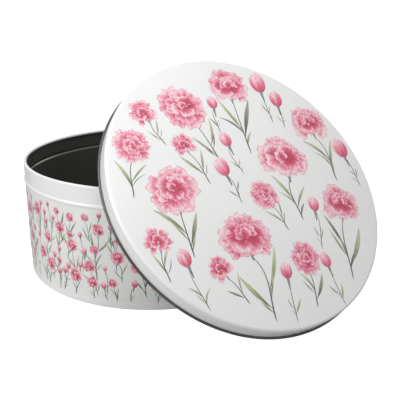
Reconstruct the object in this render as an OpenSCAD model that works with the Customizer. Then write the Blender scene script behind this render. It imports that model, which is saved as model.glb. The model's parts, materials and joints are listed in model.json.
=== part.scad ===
// Round slip-lid tin: a rolled body, a locked-in bottom and a drawn lid.
// The tin stands on z = 0 with its axis on the Z axis.
// The lid is off, leaning on the rim with its lower edge on the same surface.

/* [Tin] */
// Outer radius of the body wall
tin_r = 93; // [75:1:115]
// Height of the body, from the surface it stands on to the top of the rim
tin_h = 79; // [65:1:100]
// Thickness of the tinplate
sheet = 0.25; // [0.2:0.01:0.3]
// Outer radius of the inward roll at the rim
rim_roll_r = 1; // [0.8:0.05:1.3]

/* [Bead] */
// Depth of the bead's middle below the top of the rim
bead_drop = 12.8; // [10:0.1:16]
// How far the bead stands out of the wall
bead_out = 0.6; // [0.3:0.05:0.9]
// Half of the bead's height
bead_half = 1.3; // [0.9:0.05:1.8]

/* [Bottom] */
// Outer radius of the turn where the wall bends under
foot_turn_r = 1.4; // [1:0.1:2]
// Width of the flat foot inside that turn
foot_flat = 1.6; // [1.2:0.1:3]
// Height of the fold that clasps the bottom to the wall's hook
clasp_h = 1.2; // [0.8:0.1:3]
// Gap between the two sheets in the bottom seam
seam_gap = 0.04; // [0.02:0.01:0.08]

/* [Side seam] */
// Width of the lap, measured along the wall
lap_w = 5; // [3:0.5:8]
// Direction of the lap around the tin, anticlockwise from +X
lap_azimuth = 20; // [-20:5:60]

/* [Lid] */
// Gap between the lid's skirt and the body wall, on the radius
lid_clearance = 0.4; // [0.3:0.05:1]
// Depth of the lid, from its top face to the bottom of its curl
lid_depth = 11; // [8:0.1:11.5]
// Radius of the outside of the lid's shoulder
shoulder_r = 1.6; // [1:0.1:3]
// Outer radius of the curl at the lid's lower edge
lid_curl_r = 0.8; // [0.6:0.05:1.1]

/* [Leaning lid] */
// Angle between the lid and the surface that it leans from
lean_angle = 47.2; // [40:0.1:60]
// Sideways shift of the lid from the tin's middle
lean_shift = 15; // [-20:1:25]
// Gap where the lid rests on the rim
lean_gap = 0.3; // [0.2:0.05:0.5]

/* [Hidden] */
$fn = 180;

// Steps along each rounded stretch of a sheet's section
turn_steps = 10;
half_sheet = sheet / 2;

// The wall's middle line and the two rolls
wall_mid_r = tin_r - half_sheet;
rim_turn_r = rim_roll_r - half_sheet;
rim_centre = [tin_r - rim_roll_r, tin_h - rim_roll_r];
rim_roll_end = 300;

// The bead is a shallow arch on the wall
bead_z = tin_h - bead_drop;
bead_arch_r = (bead_half * bead_half + bead_out * bead_out) / (2 * bead_out);
bead_arch_angle = asin(bead_half / bead_arch_r);
bead_centre = [wall_mid_r + bead_out - bead_arch_r, bead_z];

// The foot: the wall turns under, runs inwards and stands up as a short hook
foot_mid_r = foot_turn_r - half_sheet;
foot_centre = [tin_r - foot_turn_r, foot_turn_r];
hook_turn_mid_r = foot_mid_r;
hook_centre = [tin_r - foot_turn_r - foot_flat, foot_turn_r];
hook_r = hook_centre[0] - hook_turn_mid_r;

// The bottom lies over the hook and folds down beside it, on the wall's side
bottom_mid_z = foot_turn_r + clasp_h + half_sheet;
clasp_r = hook_r + sheet + seam_gap;
clasp_turn_r = sheet;
clasp_foot = foot_turn_r;
hook_top = bottom_mid_z - clasp_turn_r;

// The lap is a second layer inside the wall, joined to it
lap_inner_r = tin_r - 2 * sheet;
lap_angle = 360 * lap_w / (2 * PI * tin_r);
lap_top = bead_z - bead_half - sheet;
lap_foot = foot_turn_r;

// The lid's own section, with z = 0 on the underside of its panel
skirt_inner_r = tin_r + lid_clearance;
lid_foot = sheet - lid_depth;
lid_turn_r = lid_curl_r - half_sheet;
lid_curl_centre = [skirt_inner_r + lid_curl_r, lid_foot + lid_curl_r];
lid_curl_end = 490;
shoulder_mid_r = shoulder_r - half_sheet;
shoulder_centre = [skirt_inner_r + sheet - shoulder_r, sheet - shoulder_r];

// The lid leans so that its curl stands on the surface and its panel rests on the rim
lean_up = lid_curl_r + sin(lean_angle) * lid_curl_centre[0] - cos(lean_angle) * lid_curl_centre[1];
rim_reach = sin(lean_angle) * rim_centre[0] + cos(lean_angle) * rim_centre[1] + rim_roll_r + lean_gap;
lean_out = (rim_reach - cos(lean_angle) * lean_up) / sin(lean_angle);

// Points on an arc about a centre, from one angle to another
function arc(centre, radius, start, end) =
    [for (i = [0:turn_steps])
        let (a = start + (end - start) * i / turn_steps)
        centre + radius * [cos(a), sin(a)]];

// Direction of a line of points as it comes into a point and as it leaves it
function run_in(line, i) =
    let (step = line[max(i, 1)] - line[max(i, 1) - 1])
    step / norm(step);
function run_out(line, i) =
    let (from = min(i, len(line) - 2))
    let (step = line[from + 1] - line[from])
    step / norm(step);

// Offset square to a line of points that keeps parallel runs one unit away
function across(line, i) =
    let (sum = run_in(line, i) + run_out(line, i))
    2 * [-sum[1], sum[0]] / (sum * sum);

// Outline of a sheet of even thickness that follows a line of points
function sheet_outline(line) =
    let (last = len(line) - 1)
    concat(
        [for (i = [0:last]) line[i] + half_sheet * across(line, i)],
        [for (i = [last:-1:0]) line[i] - half_sheet * across(line, i)]);

// Half of the body's section, from the hook at the bottom to the end of the rim's roll
function body_line() = concat(
    [[hook_r, hook_top]],
    arc(hook_centre, hook_turn_mid_r, 180, 270),
    arc(foot_centre, foot_mid_r, 270, 360),
    arc(bead_centre, bead_arch_r, -bead_arch_angle, bead_arch_angle),
    arc(rim_centre, rim_turn_r, 0, rim_roll_end));

// Half of the bottom's section, from its middle to the end of its clasp
function bottom_line() = concat(
    [[0, bottom_mid_z]],
    arc([clasp_r - clasp_turn_r, bottom_mid_z - clasp_turn_r], clasp_turn_r, 90, 0),
    [[clasp_r, clasp_foot]]);

// Half of the lid's section, from the middle of its panel to the end of its curl
function lid_line() = concat(
    [[0, half_sheet]],
    arc(shoulder_centre, shoulder_mid_r, 90, 0),
    arc(lid_curl_centre, lid_turn_r, 180, lid_curl_end));

// The body: one strip of tinplate, rolled, lapped, beaded and curled
module body_wall() {
    color("whitesmoke") {
        rotate_extrude()
            polygon(sheet_outline(body_line()));
        rotate([0, 0, lap_azimuth - lap_angle / 2])
            rotate_extrude(angle = lap_angle)
                translate([lap_inner_r, lap_foot])
                    square([wall_mid_r - lap_inner_r, lap_top - lap_foot]);
    }
}

// The bottom: a pressed disc, clasped over the wall's hook
module bottom_end() {
    color("dimgray")
        rotate_extrude()
            polygon(sheet_outline(bottom_line()));
}

// The lid in its own position, flat, with its panel's underside at z = 0
module lid_flat() {
    rotate_extrude()
        polygon(sheet_outline(lid_line()));
}

// The lid leaning on the rim, towards -Y
module lid() {
    color("ghostwhite")
        translate([lean_shift, -lean_out, lean_up])
            rotate([lean_angle, 0, 0])
                lid_flat();
}

body_wall();
bottom_end();
lid();
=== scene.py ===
"""A round slip-lid tin with its printed lid leaning on the rim.

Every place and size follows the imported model: the boxes of its nodes and the direction in
which its lid lifts. The tin and the lid are shells of tinplate with enamel on one side and
lacquer on the other. The print is a thin film of ink that lies on the enamel.
"""

import json
import logging
import math
import random
from dataclasses import dataclass, field
from enum import Enum
from typing import Callable, Iterable, Sequence

import bpy
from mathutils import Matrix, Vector


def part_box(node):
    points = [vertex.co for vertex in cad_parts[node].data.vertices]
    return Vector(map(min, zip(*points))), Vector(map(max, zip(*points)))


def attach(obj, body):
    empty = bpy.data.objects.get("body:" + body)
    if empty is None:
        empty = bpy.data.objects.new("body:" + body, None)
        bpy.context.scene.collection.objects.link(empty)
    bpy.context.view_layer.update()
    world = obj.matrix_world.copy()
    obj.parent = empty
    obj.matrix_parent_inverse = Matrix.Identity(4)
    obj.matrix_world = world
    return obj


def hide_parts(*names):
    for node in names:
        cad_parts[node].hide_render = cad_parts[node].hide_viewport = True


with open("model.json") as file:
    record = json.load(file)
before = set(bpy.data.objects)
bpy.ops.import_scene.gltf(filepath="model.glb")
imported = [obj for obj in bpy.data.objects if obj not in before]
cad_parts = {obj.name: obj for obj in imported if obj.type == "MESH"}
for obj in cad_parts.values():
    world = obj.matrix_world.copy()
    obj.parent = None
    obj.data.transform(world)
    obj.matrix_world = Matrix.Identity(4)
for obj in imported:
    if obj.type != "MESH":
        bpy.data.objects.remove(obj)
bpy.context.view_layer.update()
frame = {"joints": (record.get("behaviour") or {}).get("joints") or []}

LOG = logging.getLogger("tin")
MM = 0.001
SHEET = 0.25 * MM
FULL_TURN = 2.0 * math.pi
UPRIGHT = 90.0
ROLL_STEPS = 28

Pair = tuple[float, float]
Colour = tuple[float, float, float]


# ---------------------------------------------------------------------------
# Small helpers
# ---------------------------------------------------------------------------

def linear(red: int, green: int, blue: int) -> Colour:
    """Turns a colour in display steps of 0 to 255 into scene light.

    Args:
        red: Red step.
        green: Green step.
        blue: Blue step.

    Returns:
        The colour as three linear values.
    """
    def one(step: int) -> float:
        """Turns one channel into linear light."""
        share = step / 255.0
        return share / 12.92 if share <= 0.04045 else ((share + 0.055) / 1.055) ** 2.4

    return one(red), one(green), one(blue)


def blend_numbers(first: float, second: float, share: float) -> float:
    """Gives the number that lies a share of the way from first to second."""
    return first + (second - first) * share


def arc(centre: Pair, radius: float, start: float, end: float, steps: int = 12) -> list[Pair]:
    """Lists points along an arc.

    Args:
        centre: The arc's centre.
        radius: The arc's radius.
        start: Angle of the first point, in degrees.
        end: Angle of the last point, in degrees.
        steps: Number of equal steps.

    Returns:
        The points, from start to end.
    """
    angles = [math.radians(blend_numbers(start, end, i / steps)) for i in range(steps + 1)]
    return [(centre[0] + radius * math.cos(a), centre[1] + radius * math.sin(a)) for a in angles]


# ---------------------------------------------------------------------------
# Shader nodes
# ---------------------------------------------------------------------------

class NodeDesk:
    """Adds nodes to one tree and joins them."""

    def __init__(self, tree: bpy.types.NodeTree) -> None:
        """Keeps the tree that the nodes go into."""
        self.tree = tree

    def add(self, kind: str, **settings: object) -> bpy.types.Node:
        """Adds a node.

        Args:
            kind: Blender's name for the node type, without the ShaderNode prefix.
            settings: Properties of the node and their values.

        Returns:
            The new node.
        """
        node = self.tree.nodes.new("ShaderNode" + kind)
        for name, value in settings.items():
            setattr(node, name, value)
        return node

    def join(self, source: bpy.types.NodeSocket, target: bpy.types.NodeSocket) -> None:
        """Links an output to an input."""
        self.tree.links.new(source, target)

    def feed(self, value: object, target: bpy.types.NodeSocket) -> None:
        """Gives an input a number or a colour, or links it to a socket.

        Args:
            value: Number, colour or socket.
            target: The input.
        """
        if isinstance(value, (int, float)):
            target.default_value = value
        elif isinstance(value, tuple):
            target.default_value = (*value, 1.0)
        else:
            self.join(value, target)

    def axes(self, vector: bpy.types.NodeSocket) -> Sequence[bpy.types.NodeSocket]:
        """Splits a vector into sockets for x, y and z."""
        node = self.add("SeparateXYZ")
        self.join(vector, node.inputs[0])
        return node.outputs

    def noise(self, vector: bpy.types.NodeSocket, scale: object,
              detail: float) -> bpy.types.NodeSocket:
        """Adds a noise texture.

        Args:
            vector: Socket with the place.
            scale: The noise's scale, as a number or a socket.
            detail: How many finer layers it has.

        Returns:
            The noise's socket, from 0 to 1.
        """
        node = self.add("TexNoise", noise_dimensions="3D")
        for label, value in (("Vector", vector), ("Scale", scale), ("Detail", detail)):
            self.feed(value, node.inputs[label])
        return node.outputs["Fac"]

    def fade(self, value: bpy.types.NodeSocket, start: object, end: float) -> bpy.types.NodeSocket:
        """Turns a value into a mask that runs from 0 to 1.

        Args:
            value: Socket with the value.
            start: The value where the mask is 0, as a number or a socket.
            end: The value where the mask is 1.

        Returns:
            The mask's socket.
        """
        node = self.add("MapRange", clamp=True)
        for label, given in (("Value", value), ("From Min", start), ("From Max", end)):
            self.feed(given, node.inputs[label])
        return node.outputs[0]

    def sums(self, operation: str, *values: object, clamp: bool = False) -> bpy.types.NodeSocket:
        """Adds a Math node.

        Args:
            operation: The Math node's operation.
            values: Numbers or sockets for its inputs, in order.
            clamp: Whether the result is held between 0 and 1.

        Returns:
            The node's output.
        """
        node = self.add("Math", operation=operation, use_clamp=clamp)
        for place, value in enumerate(values):
            self.feed(value, node.inputs[place])
        return node.outputs[0]

    def mixed(self, share: object, first: object, second: object) -> bpy.types.NodeSocket:
        """Mixes two colours.

        Args:
            share: Socket or number that says how much of the second colour shows.
            first: Colour or socket.
            second: Colour or socket.

        Returns:
            The mixed colour's socket.
        """
        node = self.add("Mix", data_type="RGBA")
        for place, value in ((0, share), (6, first), (7, second)):
            self.feed(value, node.inputs[place])
        return node.outputs[2]

    def ramp(self, source: bpy.types.NodeSocket,
             stops: Sequence[tuple[float, Colour]]) -> bpy.types.NodeSocket:
        """Adds a colour ramp.

        Args:
            source: Socket that drives the ramp.
            stops: Places from 0 to 1 and their colours.

        Returns:
            The ramp's colour socket.
        """
        node = self.add("ValToRGB")
        elements = node.color_ramp.elements
        while len(elements) < len(stops):
            elements.new(0.5)
        for element, (place, colour) in zip(elements, stops):
            element.position = place
            element.color = (*colour, 1.0)
        self.join(source, node.inputs[0])
        return node.outputs[0]


class SharedEffects:
    """The node groups that more than one finish uses, each built once."""

    FINE_DETAIL = 2.0
    BROAD_DETAIL = 3.0
    STREAK_SHIFT = 37.0
    GRAIN_SCALE = 420.0

    _built: dict[str, bpy.types.NodeTree] = {}

    @classmethod
    def group(cls, name: str, inputs: Sequence[tuple[str, str]], outputs: Sequence[str],
              fill: Callable[[NodeDesk, bpy.types.Node, bpy.types.Node], None]
              ) -> bpy.types.NodeTree:
        """Builds a group, or returns it if it is there.

        Args:
            name: The group's name.
            inputs: Names and socket types of its inputs.
            outputs: Names of its outputs, which are numbers.
            fill: Function that adds the nodes between the input and output nodes.

        Returns:
            The node group.
        """
        if name not in cls._built:
            tree = bpy.data.node_groups.new(name, "ShaderNodeTree")
            for label, kind in inputs:
                tree.interface.new_socket(label, in_out="INPUT", socket_type=kind)
            for label in outputs:
                tree.interface.new_socket(label, in_out="OUTPUT", socket_type="NodeSocketFloat")
            start = tree.nodes.new("NodeGroupInput")
            end = tree.nodes.new("NodeGroupOutput")
            fill(NodeDesk(tree), start, end)
            cls._built[name] = tree
        return cls._built[name]

    @classmethod
    def rolled_surface(cls) -> bpy.types.NodeTree:
        """Makes the faint waviness of a sprayed coat on rolled sheet, and its uneven gloss.

        Returns:
            A group with outputs Height and Gloss, both from 0 to 1.
        """
        def fill(desk: NodeDesk, start: bpy.types.Node, end: bpy.types.Node) -> None:
            """Adds a fine and a broad noise."""
            for scale, detail, result in (("Peel scale", cls.FINE_DETAIL, "Height"),
                                          ("Smudge scale", cls.BROAD_DETAIL, "Gloss")):
                noise = desk.noise(start.outputs["Position"], start.outputs[scale], detail)
                desk.join(noise, end.inputs[result])

        return cls.group(
            "rolled surface",
            [("Position", "NodeSocketVector"), ("Peel scale", "NodeSocketFloat"),
             ("Smudge scale", "NodeSocketFloat")],
            ["Height", "Gloss"], fill)

    @classmethod
    def watercolour(cls) -> bpy.types.NodeTree:
        """Makes a brush's streaks along a stroke, its pigment's grain, and its darker rim.

        Returns:
            A group with outputs Streak, Grain and Rim, all from 0 to 1.
        """
        def fill(desk: NodeDesk, start: bpy.types.Node, end: bpy.types.Node) -> None:
            """Adds noise stretched along the stroke, noise fixed to the sheet, and a rim mask."""
            across, along, _ = desk.axes(start.outputs["Stroke"])
            place = desk.add("CombineXYZ")
            stretched = desk.sums("MULTIPLY", across, start.outputs["Streaks"])
            shifted = desk.sums("MULTIPLY", start.outputs["Tone"], cls.STREAK_SHIFT)
            for number, part in enumerate((stretched, along, shifted)):
                desk.join(part, place.inputs[number])
            streak = desk.noise(place.outputs[0], 1.0, cls.BROAD_DETAIL)
            grain = desk.noise(start.outputs["Position"], cls.GRAIN_SCALE, cls.BROAD_DETAIL)
            aside = desk.sums("ABSOLUTE", desk.sums("MULTIPLY_ADD", across, 2.0, -1.0))
            rim = desk.fade(desk.sums("MAXIMUM", aside, along), start.outputs["Rim from"], 1.0)
            for result, label in ((streak, "Streak"), (grain, "Grain"), (rim, "Rim")):
                desk.join(result, end.inputs[label])

        return cls.group(
            "watercolour",
            [("Stroke", "NodeSocketVector"), ("Position", "NodeSocketVector"),
             ("Tone", "NodeSocketFloat"), ("Streaks", "NodeSocketFloat"),
             ("Rim from", "NodeSocketFloat")],
            ["Streak", "Grain", "Rim"], fill)


# ---------------------------------------------------------------------------
# Finishes
# ---------------------------------------------------------------------------

@dataclass(frozen=True)
class CoatedSheet:
    """Gloss and fine relief of a coat on tinplate, which every finish of the tin shares."""

    roughness: float = 0.34
    roughness_spread: float = 0.10
    coat: float = 0.35
    coat_roughness: float = 0.18
    metallic: float = 0.0
    peel_scale: float = 900.0
    smudge_scale: float = 22.0
    relief: float = 0.04
    relief_depth: float = 0.1 * MM

    def start(self, name: str) -> tuple[bpy.types.Material, NodeDesk, bpy.types.Node,
                                        bpy.types.NodeSocket, bpy.types.NodeSocket]:
        """Makes a material with the coat's gloss and relief in place.

        Args:
            name: The material's name.

        Returns:
            The material, its desk, its shader, the position socket and the gloss socket.
        """
        material = bpy.data.materials.new(name)
        material.use_nodes = True
        desk = NodeDesk(material.node_tree)
        shader = material.node_tree.nodes["Principled BSDF"]
        shader.inputs["Metallic"].default_value = self.metallic
        shader.inputs["Coat Weight"].default_value = self.coat
        shader.inputs["Coat Roughness"].default_value = self.coat_roughness
        position = desk.add("TexCoord").outputs["Object"]
        surface = desk.add("Group", node_tree=SharedEffects.rolled_surface())
        surface.inputs["Peel scale"].default_value = self.peel_scale
        surface.inputs["Smudge scale"].default_value = self.smudge_scale
        desk.join(position, surface.inputs["Position"])
        gloss = surface.outputs["Gloss"]
        spread = desk.sums("MULTIPLY_ADD", gloss, self.roughness_spread,
                           self.roughness - self.roughness_spread / 2.0)
        desk.join(spread, shader.inputs["Roughness"])
        bump = desk.add("Bump")
        bump.inputs["Strength"].default_value = self.relief
        bump.inputs["Distance"].default_value = self.relief_depth
        desk.join(surface.outputs["Height"], bump.inputs["Height"])
        desk.join(bump.outputs[0], shader.inputs["Normal"])
        return material, desk, shader, position, gloss


@dataclass(frozen=True)
class Enamel:
    """White enamel. Where a printed ground lies on it, the ground is a paler green-white."""

    colour: Colour = linear(246, 246, 245)
    aged: Colour = linear(241, 241, 240)
    ground: Colour = linear(236, 240, 237)
    ground_wash: Colour = linear(242, 242, 240)
    ground_low: float | None = None
    ground_high: float | None = None
    ground_edge: float = 1.2 * MM
    wash_scale: float = 70.0
    wash_detail: float = 4.0
    sheet: CoatedSheet = field(default_factory=CoatedSheet)

    def build(self, name: str) -> bpy.types.Material:
        """Makes the enamel.

        Args:
            name: The material's name.

        Returns:
            The material.
        """
        material, desk, shader, position, gloss = self.sheet.start(name)
        colour = desk.mixed(gloss, self.colour, self.aged)
        if self.ground_low is not None and self.ground_high is not None:
            colour = self._add_ground(desk, position, colour)
        desk.join(colour, shader.inputs["Base Color"])
        return material

    def _add_ground(self, desk: NodeDesk, position: bpy.types.NodeSocket,
                    colour: bpy.types.NodeSocket) -> bpy.types.NodeSocket:
        """Lays the printed ground over the enamel between two heights.

        Args:
            desk: The material's desk.
            position: Socket with the place on the tin.
            colour: The enamel's colour socket.

        Returns:
            The colour socket with the ground in it.
        """
        height = desk.axes(position)[2]
        fades = [desk.fade(height, edge, edge + inner)
                 for edge, inner in ((self.ground_low, self.ground_edge),
                                     (self.ground_high, -self.ground_edge))]
        wash = desk.noise(position, self.wash_scale, self.wash_detail)
        ground = desk.mixed(wash, self.ground, self.ground_wash)
        return desk.mixed(desk.sums("MULTIPLY", fades[0], fades[1]), colour, ground)


@dataclass(frozen=True)
class Lacquer:
    """Dark satin lacquer on the tin's inner side."""

    dark: Colour = linear(66, 66, 63)
    light: Colour = linear(80, 80, 76)
    sheet: CoatedSheet = field(default_factory=lambda: CoatedSheet(
        roughness=0.30, roughness_spread=0.10, coat=0.5, coat_roughness=0.12, relief=0.04))

    def build(self, name: str) -> bpy.types.Material:
        """Makes the lacquer.

        Args:
            name: The material's name.

        Returns:
            The material.
        """
        material, desk, shader, _, gloss = self.sheet.start(name)
        desk.join(desk.mixed(gloss, self.dark, self.light), shader.inputs["Base Color"])
        return material


@dataclass(frozen=True)
class Tinplate:
    """Bare tinplate on the bottom's underside, with the spangle of its tin layer."""

    light: Colour = linear(196, 196, 194)
    dark: Colour = linear(160, 161, 160)
    spangle_scale: float = 260.0
    sheet: CoatedSheet = field(default_factory=lambda: CoatedSheet(
        roughness=0.30, roughness_spread=0.16, coat=0.0, metallic=1.0, smudge_scale=60.0,
        relief=0.10))

    def build(self, name: str) -> bpy.types.Material:
        """Makes the bare tinplate.

        Args:
            name: The material's name.

        Returns:
            The material.
        """
        material, desk, shader, position, gloss = self.sheet.start(name)
        spangle = desk.add("TexVoronoi", voronoi_dimensions="3D")
        spangle.inputs["Scale"].default_value = self.spangle_scale
        desk.join(position, spangle.inputs["Vector"])
        share = desk.sums("MULTIPLY", gloss, spangle.outputs["Distance"], clamp=True)
        desk.join(desk.mixed(share, self.light, self.dark), shader.inputs["Base Color"])
        return material


@dataclass(frozen=True)
class BrushWork:
    """What both inks share: streaks along a stroke, grain, and pigment gathered at its rim."""

    streak_share: float
    grain_share: float
    streaks: float
    rim_from: float = 0.91
    sheet: CoatedSheet = field(default_factory=CoatedSheet)

    def start(self, name: str) -> tuple[bpy.types.Material, NodeDesk, bpy.types.Node,
                                        bpy.types.NodeSocket,
                                        Sequence[bpy.types.NodeSocket],
                                        bpy.types.NodeSocket]:
        """Makes a material with the brush's marks worked out.

        Args:
            name: The material's name.

        Returns:
            The material, its desk, its shader, the level along the stroke, the sockets with
            the stroke's tone and kind, and the mask of the stroke's rim.
        """
        material, desk, shader, position, _ = self.sheet.start(name)
        stroke = desk.add("UVMap", uv_map=InkFilm.STROKE_MAP).outputs[0]
        marks = desk.axes(desk.add("UVMap", uv_map=InkFilm.TONE_MAP).outputs[0])
        paint = desk.add("Group", node_tree=SharedEffects.watercolour())
        paint.inputs["Streaks"].default_value = self.streaks
        paint.inputs["Rim from"].default_value = self.rim_from
        desk.join(stroke, paint.inputs["Stroke"])
        desk.join(position, paint.inputs["Position"])
        desk.join(marks[0], paint.inputs["Tone"])
        level = desk.axes(stroke)[1]
        for output, share in (("Streak", self.streak_share), ("Grain", self.grain_share)):
            part = desk.sums("MULTIPLY_ADD", paint.outputs[output], share, -share / 2.0)
            level = desk.sums("ADD", level, part)
        return material, desk, shader, level, marks, paint.outputs["Rim"]


@dataclass(frozen=True)
class PetalInk:
    """Pink watercolour ink: deep at a petal's root, pale near its edge."""

    stops: tuple[tuple[float, Colour], ...] = (
        (0.00, linear(180, 38, 74)),
        (0.38, linear(200, 64, 98)),
        (0.60, linear(222, 104, 134)),
        (0.80, linear(240, 156, 178)),
        (1.00, linear(254, 220, 227)))
    rim: Colour = linear(196, 74, 108)
    rim_share: float = 0.60
    tone_share: float = 0.44
    brush: BrushWork = field(default_factory=lambda: BrushWork(0.80, 0.20, 7.0))

    def build(self, name: str) -> bpy.types.Material:
        """Makes the petal ink.

        Args:
            name: The material's name.

        Returns:
            The material.
        """
        material, desk, shader, level, marks, rim = self.brush.start(name)
        shift = desk.sums("MULTIPLY_ADD", marks[0], self.tone_share, -self.tone_share / 2.0)
        petal = desk.ramp(desk.sums("ADD", level, shift, clamp=True), self.stops)
        share = desk.sums("MULTIPLY", rim, self.rim_share)
        desk.join(desk.mixed(share, petal, self.rim), shader.inputs["Base Color"])
        return material


@dataclass(frozen=True)
class LeafInk:
    """Grey-green watercolour ink for leaves and stems, and blue-grey for the calyx."""

    olive: tuple[tuple[float, Colour], ...] = (
        (0.00, linear(66, 80, 68)),
        (0.28, linear(124, 138, 102)),
        (0.62, linear(186, 192, 148)),
        (1.00, linear(208, 210, 178)))
    slate: tuple[tuple[float, Colour], ...] = (
        (0.00, linear(40, 54, 56)),
        (0.35, linear(72, 86, 84)),
        (0.70, linear(128, 140, 128)),
        (1.00, linear(154, 164, 146)))
    calyx: tuple[tuple[float, Colour], ...] = (
        (0.00, linear(72, 88, 84)),
        (0.50, linear(120, 134, 142)),
        (1.00, linear(150, 140, 152)))
    rim: Colour = linear(76, 90, 82)
    rim_share: float = 0.55
    calyx_from: float = 0.75
    brush: BrushWork = field(default_factory=lambda: BrushWork(0.70, 0.25, 4.0, rim_from=0.82))

    def build(self, name: str) -> bpy.types.Material:
        """Makes the leaf ink.

        Args:
            name: The material's name.

        Returns:
            The material.
        """
        material, desk, shader, level, marks, rim = self.brush.start(name)
        level = desk.sums("ADD", level, 0.0, clamp=True)
        green = desk.mixed(marks[0], desk.ramp(level, self.olive), desk.ramp(level, self.slate))
        is_calyx = desk.sums("GREATER_THAN", marks[1], self.calyx_from)
        colour = desk.mixed(is_calyx, green, desk.ramp(level, self.calyx))
        share = desk.sums("MULTIPLY", rim, self.rim_share)
        desk.join(desk.mixed(share, colour, self.rim), shader.inputs["Base Color"])
        return material


# ---------------------------------------------------------------------------
# Tinplate shells
# ---------------------------------------------------------------------------

@dataclass
class SheetSection:
    """Half of the section of a turned sheet: a middle line and the sheet's thickness.

    The left side of the line, looking along it, is one face of the sheet, and the right side
    is the other face.
    """

    line: list[Pair]
    sheet: float
    hold: float = 0.35 * MM

    def held_line(self) -> list[Pair]:
        """Adds a point near both ends of each long run, so that flat runs shade flat.

        Returns:
            The line with those points in it.
        """
        held = [self.line[0]]
        for first, last in zip(self.line, self.line[1:]):
            length = math.dist(first, last)
            if length > 4.0 * self.hold:
                share = self.hold / length
                held += [tuple(blend_numbers(a, b, s) for a, b in zip(first, last))
                         for s in (share, 1.0 - share)]
            held.append(last)
        return held

    def outline(self) -> tuple[list[Pair], list[bool]]:
        """Draws the sheet's closed outline round its middle line.

        Returns:
            The outline's points, and for each of its edges whether it is on the left side.
        """
        line = self.held_line()
        offsets = []
        for place, here in enumerate(line):
            before = line[max(place - 1, 0)]
            after = line[min(place + 1, len(line) - 1)]
            runs = [(b[0] - a[0], b[1] - a[1]) for a, b in ((before, here), (here, after))]
            units = [(x / math.hypot(x, z), z / math.hypot(x, z))
                     for x, z in runs if (x, z) != (0.0, 0.0)]
            total = tuple(sum(unit[side] for unit in units) * 2 / len(units) for side in (0, 1))
            square = total[0] ** 2 + total[1] ** 2
            offsets.append((-2.0 * total[1] / square, 2.0 * total[0] / square))
        half = self.sheet / 2.0
        left = [(p[0] + half * o[0], p[1] + half * o[1]) for p, o in zip(line, offsets)]
        right = [(p[0] - half * o[0], p[1] - half * o[1]) for p, o in zip(line, offsets)]
        sides = [True] * len(left) + [False] * len(right)
        return left + right[::-1], sides


@dataclass
class TurnedShell:
    """A sheet turned about an axis, with its own material on each side."""

    section: SheetSection
    origin: Vector
    axis: Vector
    segments: int = 288
    start_deg: float = 0.0
    turn_deg: float = 360.0
    sharp_deg: float = 50.0

    AXIS_SHARE = 0.05

    def build(self, name: str, left: bpy.types.Material,
              right: bpy.types.Material) -> bpy.types.Object:
        """Makes the shell's mesh.

        Args:
            name: The piece's name.
            left: Material on the left side of the section's line.
            right: Material on its right side.

        Returns:
            The new object.
        """
        outline, sides = self.section.outline()
        closed = math.isclose(self.turn_deg, 360.0)
        rings = self.segments if closed else self.segments + 1
        across = Vector((1.0, 0.0, 0.0))
        up = self.axis.normalized()
        beside = up.cross(across)
        on_axis = self.AXIS_SHARE * self.section.sheet
        points: list[Vector] = []
        index: list[list[int]] = []
        for radius, height in outline:
            centre = self.origin + up * height
            if radius < on_axis:
                points.append(centre)
                index.append([len(points) - 1] * rings)
                continue
            row = []
            for ring in range(rings):
                angle = math.radians(self.start_deg + self.turn_deg * ring / self.segments)
                points.append(centre + (across * math.cos(angle) + beside * math.sin(angle)) * radius)
                row.append(len(points) - 1)
            index.append(row)
        faces, materials, places = self._faces(outline, sides, index, rings, closed)
        mesh = bpy.data.meshes.new(name)
        mesh.from_pydata(points, [], faces)
        mesh.materials.append(left)
        mesh.materials.append(right)
        mesh.polygons.foreach_set("material_index", materials)
        mesh.polygons.foreach_set("use_smooth", [True] * len(faces))
        unwrapped = mesh.uv_layers.new(name="OFBake")
        unwrapped.data.foreach_set("uv", [value for pair in places for value in pair])
        mesh.set_sharp_from_angle(angle=math.radians(self.sharp_deg))
        mesh.update()
        piece = bpy.data.objects.new(name, mesh)
        bpy.context.scene.collection.objects.link(piece)
        return piece

    def _faces(self, outline: list[Pair], sides: list[bool], index: list[list[int]],
               rings: int, closed: bool) -> tuple[list[list[int]], list[int], list[Pair]]:
        """Lists the shell's faces, their materials and the places of their corners on a map.

        Args:
            outline: The section's outline.
            sides: For each outline edge, whether it is on the left side.
            index: Point numbers by outline point and ring.
            rings: Number of rings of points.
            closed: Whether the shell goes all the way round.

        Returns:
            The faces, a material number for each, and a pair for each corner.
        """
        count = len(outline)
        runs = [math.dist(outline[i], outline[(i + 1) % count]) for i in range(count)]
        total = sum(runs)
        starts = [sum(runs[:i]) / total for i in range(count + 1)]
        faces: list[list[int]] = []
        materials: list[int] = []
        places: list[Pair] = []
        steps = rings if closed else rings - 1
        for edge in range(count):
            far = (edge + 1) % count
            if index[edge][0] == index[edge][-1] and index[far][0] == index[far][-1]:
                continue
            for ring in range(steps):
                beyond = (ring + 1) % rings
                corners = [(index[edge][ring], (ring / steps, starts[edge])),
                           (index[far][ring], (ring / steps, starts[edge + 1])),
                           (index[far][beyond], ((ring + 1) / steps, starts[edge + 1])),
                           (index[edge][beyond], ((ring + 1) / steps, starts[edge]))]
                used = [c for i, c in enumerate(corners) if c[0] != corners[i - 1][0]]
                faces.append([c[0] for c in used])
                places.extend(c[1] for c in used)
                materials.append(0 if sides[edge] else 1)
        if not closed:
            for ring in (0, rings - 1):
                cap = [row[ring] for row in index]
                faces.append(cap if ring else cap[::-1])
                places.extend([(0.5, 0.5)] * count)
                materials.append(1)
        return faces, materials, places


# ---------------------------------------------------------------------------
# The print: strokes of ink on a flat sheet, laid on the enamel
# ---------------------------------------------------------------------------

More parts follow.
